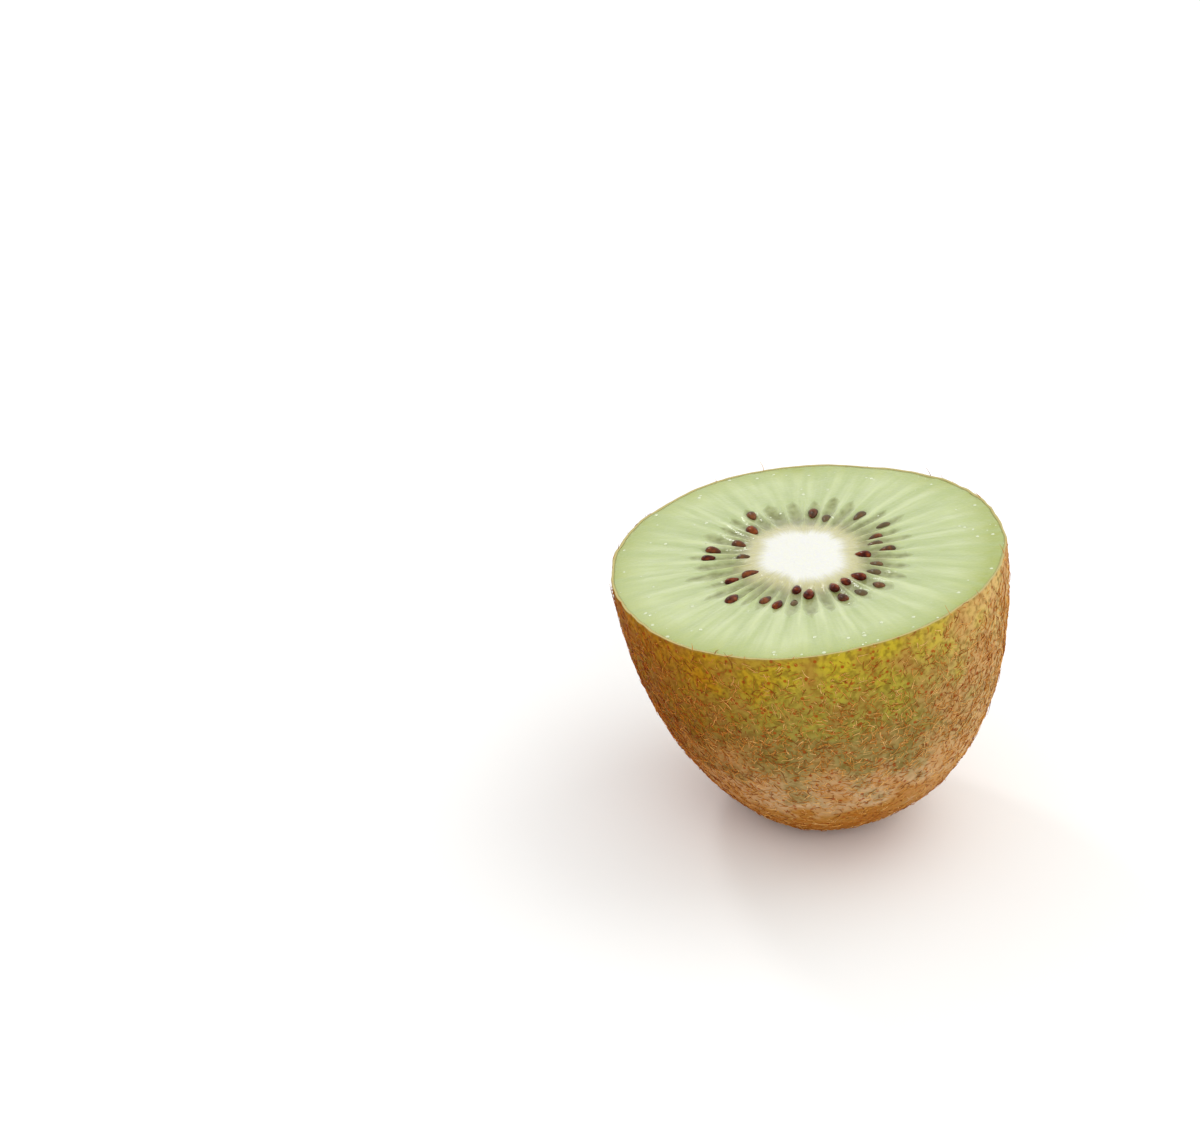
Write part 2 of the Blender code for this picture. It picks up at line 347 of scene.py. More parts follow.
def wet_flesh():
    material, add, spot, shader = new_material("wet cut kiwi flesh")
    section = add("ShaderNodeUVMap", uv_map="section")
    split = add("ShaderNodeSeparateXYZ", {0: section})
    chamber, zone = split.outputs[0], split.outputs[1]

    # A ring has no first point, so patterns run on its sine and cosine.
    angle = add("ShaderNodeMath", {0: chamber, 1: 2 * math.pi / CHAMBERS}, operation="MULTIPLY")
    cosine = add("ShaderNodeMath", {0: angle}, operation="COSINE")
    sine = add("ShaderNodeMath", {0: angle}, operation="SINE")
    polar = add("ShaderNodeCombineXYZ", {0: cosine, 1: sine, 2: zone})

    # The core's edge wanders, and short fibres fray it.
    slow = add("ShaderNodeMapping", {"Vector": polar, "Scale": (1.5, 1.5, 0.0)})
    wander = add("ShaderNodeTexNoise", {"Vector": slow, "Scale": 1.0})
    bend = add("ShaderNodeMapRange", {0: wander, **NOISE_RANGE, 3: -CORE_EDGE_WANDER, 4: CORE_EDGE_WANDER})
    quick = add("ShaderNodeMapping", {"Vector": polar, "Scale": (22.0, 22.0, 1.2)})
    fray = add("ShaderNodeTexNoise", {"Vector": quick, "Scale": 1.0})
    fringe = add("ShaderNodeMapRange", {0: fray, **NOISE_RANGE, 3: -CORE_EDGE_FRAY, 4: CORE_EDGE_FRAY})
    edge = add("ShaderNodeMath", {0: zone, 1: bend}, operation="ADD")
    ragged = add("ShaderNodeMath", {0: edge, 1: fringe}, operation="ADD")

    # Jelly: widest in the middle of a chamber, narrower at the core and round at the far end.
    number = add("ShaderNodeMath", {0: chamber}, operation="FLOOR")
    lot = add("ShaderNodeTexWhiteNoise", {"W": number}, noise_dimensions="1D")
    reach = add("ShaderNodeMapRange", {0: lot, 1: 0.0, 2: 1.0, 3: SHORTEST_JELLY, 4: LONGEST_JELLY})
    wavy = add("ShaderNodeMapping", {"Vector": polar, "Scale": (7.0, 7.0, 3.0)})
    waves = add("ShaderNodeTexNoise", {"Vector": wavy, "Scale": 1.0, "Detail": 3.0})
    sway = add("ShaderNodeMapRange", {0: waves, **NOISE_RANGE, 3: -WALL_SWAY, 4: WALL_SWAY})
    swayed = add("ShaderNodeMath", {0: chamber, 1: sway}, operation="ADD")
    across = add("ShaderNodeMath", {0: swayed}, operation="FRACT")
    centred = add("ShaderNodeMath", {0: across, 1: 0.5}, operation="SUBTRACT")
    aside = add("ShaderNodeMath", {0: centred}, operation="ABSOLUTE")
    off = add("ShaderNodeMath", {0: aside, 1: 2.0}, operation="MULTIPLY")
    along = add("ShaderNodeMath", {0: edge, 1: 1.0}, operation="SUBTRACT")
    reached = add("ShaderNodeMath", {0: along, 1: reach}, operation="SUBTRACT")
    width = add(
        "ShaderNodeValToRGB",
        {0: reached},
        stops=((0.0, 0.62), (0.20, 0.92), (0.50, 0.98), (0.75, 0.80), (1.0, 0.0)),
    )
    width.color_ramp.interpolation = "EASE"
    inside = add("ShaderNodeMath", {0: width, 1: off}, operation="SUBTRACT")
    jelly = add("ShaderNodeMapRange", {0: inside, 1: 0.0, 2: 0.7}, **SMOOTH)

    # Flesh: its own colour from the core out to the green edge, streaked along the spokes.
    flesh = add(
        "ShaderNodeValToRGB",
        {0: add("ShaderNodeMath", {0: edge, 1: 3.0}, operation="DIVIDE")},
        stops=(
            (0.33, "#B4B487"),
            (0.45, "#B3BA8C"),
            (0.62, "#C8D1A2"),
            (0.85, "#C2CC98"),
            (0.95, "#B0BA78"),
            (1.0, "#A1AB5A"),
        ),
    )
    streaky = add("ShaderNodeMapping", {"Vector": polar, "Scale": (FIBRES_AROUND, FIBRES_AROUND, 0.9)})
    fibres = add("ShaderNodeTexNoise", {"Vector": streaky, "Scale": 1.0})
    streak = add("ShaderNodeMapRange", {0: fibres, 1: 0.35, 2: 0.65, 3: 0.0, 4: 0.65})
    streaked = add("ShaderNodeMix", {0: streak, 6: flesh, 7: "#A6B478"}, data_type="RGBA")

    # Rays: the chambers' far ends show as darker wedges between pale walls that fade before the rim.
    fade = add("ShaderNodeMapRange", {0: zone, 1: 1.6, 2: 2.85, 3: 0.65, 4: 0.0}, **SMOOTH)
    wedge = add("ShaderNodeMapRange", {0: off, 1: 0.0, 2: 0.95, 3: 1.0, 4: 0.0}, **SMOOTH)
    ray = add("ShaderNodeMath", {0: wedge, 1: fade}, operation="MULTIPLY")
    rayed = add("ShaderNodeMix", {0: ray, 6: streaked, 7: "#9DAC72"}, data_type="RGBA")

    # Jelly colour: darker and greener in its depth, greyer where seeds lie deeper.
    cloud = add("ShaderNodeTexNoise", {"Vector": spot, "Scale": CLOUDS_PER_METRE})
    clouded = add("ShaderNodeMapRange", {0: cloud, 1: 0.35, 2: 0.65})
    deep = add("ShaderNodeMix", {0: clouded, 6: "#7E834E", 7: "#A0A873"}, data_type="RGBA")
    jellied = add("ShaderNodeMix", {0: jelly, 6: rayed, 7: deep}, data_type="RGBA")
    near = add("ShaderNodeMapRange", {0: zone, 1: 1.15, 2: 1.65, 3: 0.85, 4: 0.0}, **SMOOTH)
    buried = add("ShaderNodeMath", {0: near, 1: clouded}, operation="MULTIPLY")
    greyed = add("ShaderNodeMix", {0: buried, 6: jellied, 7: "#878361"}, data_type="RGBA")

    # Core and its yellow fringe.
    yellow = add("ShaderNodeMapRange", {0: ragged, 1: 0.98, 2: 1.30, 3: 1.0, 4: 0.0}, **SMOOTH)
    fibre_tone = add("ShaderNodeMix", {0: fray, 6: "#ABA671", 7: "#D2CEA4"}, data_type="RGBA")
    fringed = add("ShaderNodeMix", {0: yellow, 6: greyed, 7: fibre_tone}, data_type="RGBA")
    outside = add("ShaderNodeMapRange", {0: ragged, 1: 0.68, 2: 1.0}, **SMOOTH)
    colour = add("ShaderNodeMix", {0: outside, 6: "#E3E3DA", 7: fringed}, data_type="RGBA")

    # The cut opens cells of juice: a fine pebbled relief, with fibres along the spokes outside the core.
    cells = add("ShaderNodeTexVoronoi", {"Vector": spot, "Scale": 1 / CELL_SIZE})
    strands = add("ShaderNodeMath", {0: fibres, 1: outside}, operation="MULTIPLY")
    relief = add("ShaderNodeMath", {0: cells.outputs["Distance"], 1: strands}, operation="ADD")
    bump = add("ShaderNodeBump", {"Height": relief, "Strength": 0.4, "Distance": 0.00008})
    wet = add("ShaderNodeMath", {0: jelly, 1: outside}, operation="MULTIPLY")
    gloss = add("ShaderNodeMapRange", {0: wet, 1: 0.0, 2: 1.0, 3: 0.30, 4: 0.12})

    feed_node(shader, {"Base Color": colour, "Roughness": gloss, "Normal": bump, "IOR": 1.36})
    glow = {"Weight": 0.4, "Radius": (1.0, 1.0, 0.5), "Scale": 0.0012}
    feed_node(shader, {f"Subsurface {name}": value for name, value in glow.items()})
    feed_node(shader, {"Coat Weight": 0.3, "Coat Roughness": 0.08, "Coat IOR": 1.34})
    return material


# %% [markdown]
# ## Flesh: its form
#
# The face is rings from the core's middle to the rim. The soft jelly sinks between the chamber walls and
# the firm core stands up. Noise in the heights breaks the shine as wet flesh does. Round the edge the
# flesh shrinks from the skin a little. Below the face it is a plain closed body under the skin.

# %% Make the flesh
CORE_RINGS = 24
CHAMBER_RINGS = 24
OUTER_RINGS = 26
CORE_ZONES = [step / CORE_RINGS for step in range(1, CORE_RINGS)]
CHAMBER_ZONES = [1 + step / CHAMBER_RINGS for step in range(CHAMBER_RINGS + 1)]
OUTER_ZONES = [2 + step / OUTER_RINGS for step in range(1, OUTER_RINGS)] + [2.98, 3.0]
FLESH_SIDE_DEGREES = range(3, 88, 4)
FLESH_SIDE_SHARES = [math.cos(math.radians(step)) for step in FLESH_SIDE_DEGREES]
SEPTUM_RISE = 0.00006
FLESH_LUMPS = ((0.0016, 0.00005), (0.0006, 0.00002))
EDGE_DROP = 0.00005
EDGE_DROP_FROM = 2.9
EDGE_DROP_WIDTH = 0.1
SAG_FULLNESS = 0.6
SAG_LEAN = 0.8


def chamber_sag(across, along):
    """Depth of the jelly under the face, across and along the chamber from 0 to 1."""
    side = math.sin(math.pi * across) ** SAG_FULLNESS if 0 < across < 1 else 0.0
    return CHAMBER_DEPTH * side * max(0.0, math.sin(math.pi * min(1.0, along) ** SAG_LEAN))


def face_radius(angle, zone):
    """Distance from the centre to a zone: 1 is the core's edge, 2 the chambers' end and 3 the rim."""
    core = oval_radius(angle, CORE_LONG_RADIUS, CORE_SHORT_RADIUS)
    if zone <= 1:
        return core * zone
    if zone <= 2:
        return core + CHAMBER_LENGTH * (zone - 1)
    rim = body_point(angle, 1.0, SKIN_THICKNESS).length
    return core + CHAMBER_LENGTH + (rim - core - CHAMBER_LENGTH) * (zone - 2)


def face_height(chamber, zone, flat_point):
    """Height of the face: a crowned core, sunk jelly, low ridges beyond it and a dropped edge."""
    lumps = sum(height * noise.noise(flat_point / size) for size, height in FLESH_LUMPS)
    if zone <= 1:
        return CORE_CROWN * (1 - zone**2) + lumps * zone**4
    if zone <= 2:
        return lumps - chamber_sag(chamber % 1, zone - 1)
    ridge = SEPTUM_RISE * math.cos(2 * math.pi * chamber) * math.sin(math.pi * (zone - 2)) ** 2
    edge = max(0.0, (zone - EDGE_DROP_FROM) / EDGE_DROP_WIDTH)
    return lumps + ridge - EDGE_DROP * edge**2


def press_flat(vertices, level):
    """The soft end has settled, so nothing lies lower than this level."""
    for vertex in vertices:
        vertex.co.z = max(vertex.co.z, level)


def face_ring(zone):
    ring = []
    for chamber, angle in SPOKES:
        radius = face_radius(angle, zone)
        flat_point = Vector((radius * math.cos(angle), radius * math.sin(angle), 0))
        ring.append(flat_point + Vector((0, 0, face_height(chamber, zone, flat_point))))
    return ring


flesh_zones = CORE_ZONES + CHAMBER_ZONES + OUTER_ZONES
flesh_rings = [face_ring(zone) for zone in flesh_zones]
for share in FLESH_SIDE_SHARES:
    flesh_rings.append([body_point(angle, share, SKIN_THICKNESS) for _, angle in SPOKES])
    flesh_zones.append(3.0)
flesh_end = body_point(0, 0.0, SKIN_THICKNESS)
flesh_mesh = mesh_from_rings(
    "flesh", flesh_rings, flesh_zones, (Vector((0, 0, CORE_CROWN)), 0.0), (flesh_end, 3.0)
)
REST_LEVEL = half_low.z
press_flat(flesh_mesh.vertices, REST_LEVEL + SKIN_THICKNESS)
flesh = add_piece("flesh", flesh_mesh, wet_flesh())
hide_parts("kiwi_half")

# %% [markdown]
# ## Skin: what it looks like
#
# The skin is thin, dull and leathery. Just under the cut the green flesh shines through it and makes it
# olive yellow. Below that come greyer brown, a pale band that is painted sheen of the fuzz, and an orange
# brown end. One side is darker orange brown all the way down, which is painted shade, and the other side is
# paler, which is painted light. Each hair grows from a reddish-brown dot.
# The ramp runs down the fruit, and noise at the size of the real mottling breaks every border.

# %% Material: kiwi skin
DOT_SPACING = 0.0011
MOTTLE_SIZE = 0.0042
GRAINS_PER_METRE = 1500.0
# The first pair of limits spans the side with painted shade, and the second pair the side with painted light.
PAINTED_SHADE_FROM, PAINTED_SHADE_TO = -0.001, -0.021
PAINTED_LIGHT_FROM, PAINTED_LIGHT_TO = 0.007, 0.026
SIDE_SWING = 0.004
SIDE_STRENGTH = 0.95
BAND_DRIFT = 0.09


def painted_light_side(add, spot, patches, start, end):
    """How far a point lies to one side, between start and end across the fruit. The mask places painted shade
    on one side of the fruit and painted light on the other. Mottling blurs it.
    """
    side = add("ShaderNodeSeparateXYZ", {0: spot}).outputs[0]
    swing = add("ShaderNodeMapRange", {0: patches, **NOISE_RANGE, 3: -SIDE_SWING, 4: SIDE_SWING})
    swung = add("ShaderNodeMath", {0: side, 1: swing}, operation="ADD")
    return add("ShaderNodeMapRange", {0: swung, 1: start, 2: end, 3: 0.0, 4: SIDE_STRENGTH}, **SMOOTH)


def kiwi_skin():
    material, add, spot, shader = new_material("dull leathery kiwi skin")
    section = add("ShaderNodeUVMap", uv_map="section")
    down = add("ShaderNodeSeparateXYZ", {0: section}).outputs[1]

    patches = add("ShaderNodeTexNoise", {"Vector": spot, "Scale": 1 / MOTTLE_SIZE, "Detail": 3.0})
    drift = add("ShaderNodeMapRange", {0: patches, **NOISE_RANGE, 3: -BAND_DRIFT, 4: BAND_DRIFT})
    drifted = add("ShaderNodeMath", {0: down, 1: drift}, operation="ADD")
    # The ramp runs down the fruit. Its pale stop at 0.41 is painted sheen of the fuzz.
    ground = add(
        "ShaderNodeValToRGB",
        {0: drifted},
        stops=(
            (0.0, "#B29E28"),
            (0.09, "#9B8E34"),
            (0.20, "#87773E"),
            (0.31, "#998452"),
            (0.41, "#C5A37A"),
            (0.50, "#B07A34"),
            (0.59, "#A6641A"),
            (1.0, "#96560E"),
        ),
    )
    fine = add("ShaderNodeTexNoise", {"Vector": spot, "Scale": GRAINS_PER_METRE, "Detail": 3.0})
    mottle = add("ShaderNodeMapRange", {0: fine, 1: 0.42, 2: 0.64, 3: 0.0, 4: 0.6})
    # Painted light: the right side of the fruit is painted paler, as if a lamp lit it.
    painted_light_mask = painted_light_side(add, spot, patches, PAINTED_LIGHT_FROM, PAINTED_LIGHT_TO)
    painted_light_paled = add("ShaderNodeMix", {0: painted_light_mask, 6: ground, 7: "#D6AE78"}, data_type="RGBA")
    calm = add("ShaderNodeMapRange", {0: drifted, 1: 0.28, 2: 0.42, 3: 1.0, 4: 0.4})
    mottling = add("ShaderNodeMath", {0: mottle, 1: calm}, operation="MULTIPLY")
    mottled = add("ShaderNodeMix", {0: mottling, 6: painted_light_paled, 7: "#644E16"}, data_type="RGBA")
    blush = add("ShaderNodeMapRange", {0: patches, 1: 0.45, 2: 0.68, 3: 0.0, 4: 0.45})
    patched = add("ShaderNodeMix", {0: blush, 6: mottled, 7: "#A86A22"}, data_type="RGBA")
    # Painted shade: the left side of the fruit is painted darker and more orange.
    painted_shade_mask = painted_light_side(add, spot, patches, PAINTED_SHADE_FROM, PAINTED_SHADE_TO)
    painted_shade_darkened = add(
        "ShaderNodeMix", {0: painted_shade_mask, 6: patched, 7: "#E8AE10"}, data_type="RGBA", blend_type="MULTIPLY"
    )

    cells = add("ShaderNodeTexVoronoi", {"Vector": spot, "Scale": 1 / DOT_SPACING})
    dot = add(
        "ShaderNodeMapRange", {0: cells.outputs["Distance"], 1: 0.12, 2: 0.26, 3: 0.85, 4: 0.0}, **SMOOTH
    )
    dotted = add("ShaderNodeMix", {0: dot, 6: painted_shade_darkened, 7: "#963E08"}, data_type="RGBA")

    # The knife bares the skin's pale thickness at the lip, which lies above zone 0.
    bared = add("ShaderNodeMapRange", {0: down, 1: -0.02, 2: 0.004, 3: 1.0, 4: 0.0})
    colour = add("ShaderNodeMix", {0: bared, 6: dotted, 7: "#BBAF76"}, data_type="RGBA")

    relief = add("ShaderNodeMath", {0: fine, 1: dot}, operation="ADD")
    bump = add("ShaderNodeBump", {"Height": relief, "Strength": 0.5, "Distance": 0.0001})
    dullness = add("ShaderNodeMapRange", {0: fine, **NOISE_RANGE, 3: 0.6, 4: 0.85})
    feed_node(shader, {"Base Color": colour, "Roughness": dullness, "Normal": bump})
    feed_node(shader, {"IOR": 1.45, "Specular IOR Level": 0.06})
    return material


# %% [markdown]
# ## Skin: its form
#
# The skin is a closed shell: down the outside, and back up the inside. Its lumps are real relief at two
# sizes. The soft end has settled on the table, so whatever would lie lower is pressed flat there. The inner
# wall is stopped one skin thickness higher, or both walls would lie in one plane.

# %% Make the skin
SKIN_RING_COUNT = 110
SKIN_INNER_STEPS = 10
SKIN_LUMPS = ((0.0050, 0.00012), (0.0012, 0.00007))
LIP_ZONE = -0.05
LIP_OUTWARD = 0.7


def skin_share(step):
    """Shares that are spaced evenly along the curved side, from the cut towards the end."""
    return math.cos(math.pi / 2 * step)


def skin_ring(share):
    ring = []
    for _, angle in SPOKES:
        point = body_point(angle, share)
        lumps = sum(height * noise.noise(point / size) for size, height in SKIN_LUMPS)
        outward = Vector((math.cos(angle) * share, math.sin(angle) * share, -math.sqrt(1 - share**2)))
        ring.append(point + lumps * outward)
    return ring


outer_steps = [step / SKIN_RING_COUNT for step in range(SKIN_RING_COUNT)]
inner_steps = [step / SKIN_INNER_STEPS for step in range(SKIN_INNER_STEPS)]
inner_rings = [
    [body_point(angle, skin_share(step), SKIN_THICKNESS) for _, angle in SPOKES]
    for step in reversed(inner_steps)
]
outer_rings = [skin_ring(skin_share(step)) for step in outer_steps]
lip = [inner.lerp(outer, LIP_OUTWARD) for inner, outer in zip(inner_rings[-1], outer_rings[0])]
skin_zones = [LIP_ZONE] * (len(inner_rings) + 1) + outer_steps
skin_mesh = mesh_from_rings(
    "skin",
    inner_rings + [lip] + outer_rings,
    skin_zones,
    (body_point(0, 0.0, SKIN_THICKNESS), LIP_ZONE),
    (body_point(0, 0.0), 1.0),
)
inner_count = len(inner_rings) * len(SPOKES)
press_flat(skin_mesh.vertices[:inner_count], REST_LEVEL + SKIN_THICKNESS)
press_flat(skin_mesh.vertices[inner_count:], REST_LEVEL)
skin = add_piece("skin", skin_mesh, kiwi_skin())

# %% [markdown]
# ## Scar of the stalk
#
# The far end has a dimple, and in it the dry stub that the fruit hung by. It faces the table, so it is
# hardly ever seen, but a part that is picked up and turned over needs it. It is a lumpy woody button.

# %% Material and mesh of the stub
STUB_RADIUS = 0.0016
STUB_HEIGHT = 0.0006
STUB_ROOT = 0.0006
STUB_SIDE_LUMPS, STUB_SIDE_LUMPINESS = 0.16, 2.3
STUB_END_LUMPS, STUB_END_LUMPINESS = 0.00015, 3.1
STUB_GRAIN = 0.0004
STUB_TIPS = (1.0, -0.7)
STUB_PROFILE = ((0.8, 1.0), (1.0, 0.5), (1.08, 0.0), (1.0, -0.6), (0.8, -1.0), (0.4, -0.8))


def stalk_wood():
    material, add, spot, shader = new_material("dry stalk wood")
    grain = add("ShaderNodeTexNoise", {"Vector": spot, "Scale": 1 / STUB_GRAIN, "Detail": 4.0})
    colour = add(
        "ShaderNodeValToRGB", {0: grain}, stops=((0.3, "#24150A"), (0.5, "#4A3018"), (0.7, "#7A5A36"))
    )
    bump = add("ShaderNodeBump", {"Height": grain, "Strength": 0.8, "Distance": 0.0001})
    feed_node(shader, {"Base Color": colour, "Normal": bump, "Roughness": 0.85, "IOR": 1.5})
    return material


def stub_point(angle, wide, high):
    """A point of the stub. High is 1 at its root in the flesh and -1 at its free end."""
    spot = Vector((math.cos(angle), math.sin(angle), high)) * wide
    radius = STUB_RADIUS * wide * (1 + STUB_SIDE_LUMPS * noise.noise(spot * STUB_SIDE_LUMPINESS))
    height = high * (STUB_ROOT if high > 0 else STUB_HEIGHT)
    height += STUB_END_LUMPS * noise.noise(spot * STUB_END_LUMPINESS)
    middle = Vector((axis_shift(1), 0, DIMPLE_DEPTH - HALF_LENGTH))
    return middle + Vector((radius * math.cos(angle), radius * math.sin(angle), height))


stub_rings = [[stub_point(angle, wide, high) for _, angle in SPOKES] for wide, high in STUB_PROFILE]
stub_zones = [1.0] * len(STUB_PROFILE)
stub_tips = [(stub_point(0, 0.0, high), 1.0) for high in STUB_TIPS]
stub_mesh = mesh_from_rings("stalk_scar", stub_rings, stub_zones, *stub_tips)
add_piece("stalk_scar", stub_mesh, stalk_wood())

# %% [markdown]
# ## Seeds
#
# A kiwi seed is a flat drop two millimetres long, dark red-brown and wet. The cut shows thirty of them,
# each lying along its chamber. Some lie deeper, and the jelly over them veils them in dull olive.
# All are one small mesh, set out on points by Geometry Nodes: the points carry each seed's turn, size
# and veil, and the tree turns them into one plain mesh.

# %% A function that runs a Geometry Nodes tree and gives a plain mesh
def grow(source, tree, values):
    """Runs the tree on an object with these inputs, and returns the mesh that it makes."""
    modifier = source.modifiers.new("grow", "NODES")
    modifier.node_group = tree
    for item in tree.interface.items_tree:
        if item.name in values:
            modifier[item.identifier] = values[item.name]
    graph = bpy.context.evaluated_depsgraph_get()
    made = source.evaluated_get(graph)
    mesh = bpy.data.meshes.new_from_object(made, preserve_all_data_layers=True, depsgraph=graph)
    source.modifiers.remove(modifier)
    return mesh


def new_tree(name, sizes):
    """A Geometry Nodes tree with an input for each size, what adds nodes to it, and its inputs."""
    tree = bpy.data.node_groups.new(name, "GeometryNodeTree")
    tree.interface.new_socket("Geometry", in_out="INPUT", socket_type="NodeSocketGeometry")
    for size, kind in sizes.items():
        tree.interface.new_socket(size, in_out="INPUT", socket_type=kind)
    tree.interface.new_socket("Geometry", in_out="OUTPUT", socket_type="NodeSocketGeometry")
    add = partial(add_node, tree)
    return tree, add, add("NodeGroupInput").outputs


def lead_out(add, shape, material):
    """Ends a tree. Instances are made real, because only real meshes leave Blender."""
    real = add("GeometryNodeRealizeInstances", {0: shape})
    done = add("GeometryNodeSetMaterial", {0: real, "Material": material})
    add("NodeGroupOutput", {0: done})


def store_numbers(mesh, name, numbers):
    """Stores a number for each point of a mesh, for trees and materials to read by name."""
    mesh.attributes.new(name, "FLOAT", "POINT").data.foreach_set("value", numbers)


# %% Material: seed coat
SEED_GRAINS_PER_METRE = 1300.0


def seed_coat():
    material, add, spot, shader = new_material("wet kiwi seed coat")
    veil = add("ShaderNodeAttribute", attribute_name="veil")
    grain = add("ShaderNodeTexNoise", {"Vector": spot, "Scale": SEED_GRAINS_PER_METRE})
    coat = add(
        "ShaderNodeValToRGB", {0: grain}, stops=((0.35, "#360900"), (0.5, "#581A02"), (0.68, "#863C0A"))
    )
    colour = add("ShaderNodeMix", {0: veil.outputs["Fac"], 6: coat, 7: "#5E5438"}, data_type="RGBA")
    bump = add("ShaderNodeBump", {"Height": grain, "Strength": 0.3, "Distance": 0.00004})
    feed_node(shader, {"Base Color": colour, "Normal": bump, "Roughness": 0.2})
    feed_node(shader, {"IOR": 1.48, "Specular IOR Level": 0.08})
    feed_node(shader, {"Coat Weight": 0.25, "Coat Roughness": 0.04, "Coat IOR": 1.34})
    return material


# %% Where the seeds lie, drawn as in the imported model
SEED_LENGTH = 0.0021
SEED_WIDTH = 0.00122
SEED_THICKNESS = 0.0009
SEED_PROUD = 0.00012
SEED_TIP_NARROWING = 0.35
SEED_YAW = math.radians(11)
SEED_SIZES = (0.86, 1.1)

# Chamber, metres out from the core, and how far the jelly veils it.
SEED_SPOTS = (
    (0, 0.0024, 0.7), (1, 0.0031, 0.3), (2, 0.0053, 0.8), (4, 0.0052, 0.7), (6, 0.0031, 0.8),
    (7, 0.0042, 0.3), (10, 0.0060, 0.4), (11, 0.0027, 0.1), (13, 0.0022, 0.3), (14, 0.0051, 0.2),
    (15, 0.0009, 0.5), (15, 0.0054, 0.0), (18, 0.0012, 0.2), (18, 0.0037, 0.0), (20, 0.0064, 0.1),
    (22, 0.0044, 0.3), (23, 0.0051, 0.0), (24, 0.0012, 0.0), (24, 0.0041, 0.8), (25, 0.0021, 0.0),
    (27, 0.0014, 0.0), (27, 0.0041, 0.2), (28, 0.0010, 0.0), (28, 0.0043, 0.8), (29, 0.0014, 0.0),
    (29, 0.0048, 0.5), (30, 0.0024, 0.8), (31, 0.0022, 0.7), (32, 0.0005, 0.0), (33, 0.0036, 0.4),
)
VEILED_DEPTH = 0.00030
SEED_SIDES = 14
SEED_RINGS = 9


def seed_places():
    """Place, turn, size and veil of each seed, in the half's own frame."""
    draw = random.Random(CHAMBER_SEED + 1)
    places = []
    for chamber, out, veil in SEED_SPOTS:
        yaw = draw.uniform(-1, 1) * SEED_YAW
        size = draw.uniform(*SEED_SIZES)
        angle = (WALLS[chamber] + WALLS[chamber + 1]) / 2
        radius = oval_radius(angle, CORE_LONG_RADIUS, CORE_SHORT_RADIUS) + out
        height = SEED_PROUD - VEILED_DEPTH * veil - chamber_sag(0.5, out / CHAMBER_LENGTH)
        spot = Vector((radius * math.cos(angle), radius * math.sin(angle), height))
        places.append((spot, angle + yaw, size, veil))
    return places


def seed_mesh():
    """One seed along X, with its narrow tip towards the core."""
    points, faces = [(-SEED_LENGTH / 2, 0, 0), (SEED_LENGTH / 2, 0, 0)], []
    for step in range(1, SEED_RINGS + 1):
        turn = math.pi * step / (SEED_RINGS + 1)
        along = -math.cos(turn)
        width = math.sin(turn) * (1 + SEED_TIP_NARROWING * along)
        for side in range(SEED_SIDES):
            around = 2 * math.pi * side / SEED_SIDES
            y = width * math.cos(around) * SEED_WIDTH / 2
            z = width * math.sin(around) * SEED_THICKNESS / 2
            points.append((along * SEED_LENGTH / 2, y, z))
    for side in range(SEED_SIDES):
        after = (side + 1) % SEED_SIDES
        last = 2 + (SEED_RINGS - 1) * SEED_SIDES
        faces.append((0, 2 + after, 2 + side))
        faces.append((1, last + side, last + after))
        for ring in range(SEED_RINGS - 1):
            here, there = 2 + ring * SEED_SIDES, 2 + (ring + 1) * SEED_SIDES
            faces.append((here + side, here + after, there + after, there + side))
    mesh = new_mesh("one_seed", points, faces)
    mesh.shade_smooth()
    return mesh


# %% Set the seeds out with Geometry Nodes
def seed_tree(material):
    tree, add, given = new_tree("set out seeds", {"Seed": "NodeSocketObject"})
    shape = add("GeometryNodeObjectInfo", {"Object": given["Seed"]})
    turn = add("GeometryNodeInputNamedAttribute", {"Name": "turn"})
    size = add("GeometryNodeInputNamedAttribute", {"Name": "size"})
    facing = add("ShaderNodeCombineXYZ", {2: turn})
    placed = add(
        "GeometryNodeInstanceOnPoints",
        {
            "Points": given["Geometry"],
            "Instance": shape.outputs["Geometry"],
            "Rotation": facing,
            "Scale": size,
        },
    )
    lead_out(add, placed, material)
    return tree


places = seed_places()
seed_points = new_mesh("seed_points", [place[0] for place in places], [])
for column, attribute in ((1, "turn"), (2, "size"), (3, "veil")):
    store_numbers(seed_points, attribute, [place[column] for place in places])
seed_helper = put_in_scene("one_seed", seed_mesh())
point_helper = put_in_scene("seed_points", seed_points)
seed_material = seed_coat()
seeds_mesh = grow(point_helper, seed_tree(seed_material), {"Seed": seed_helper})
seeds_mesh.transform(PLACE)
bpy.data.objects.remove(seed_helper)
bpy.data.objects.remove(point_helper)
add_piece("seeds", seeds_mesh, seed_material)
print("seeds:", len(places))

# %% [markdown]
# ## Hairs
#
# The skin is covered in stiff curly hairs that mostly lie along it. Most of those here are under a
# millimetre long, and the longest are nearly two. They are drawn thicker than real ones, so that they show.
# They grow out of the skin by Geometry Nodes: roots are strewn over its faces, each root gets a length and
# a heading, and a curve is bent from the root by a formula of those. The curve becomes a thin tube.
# Dense down, a shorter and finer fuzz, and sparse long hairs come from the same tree with other sizes.

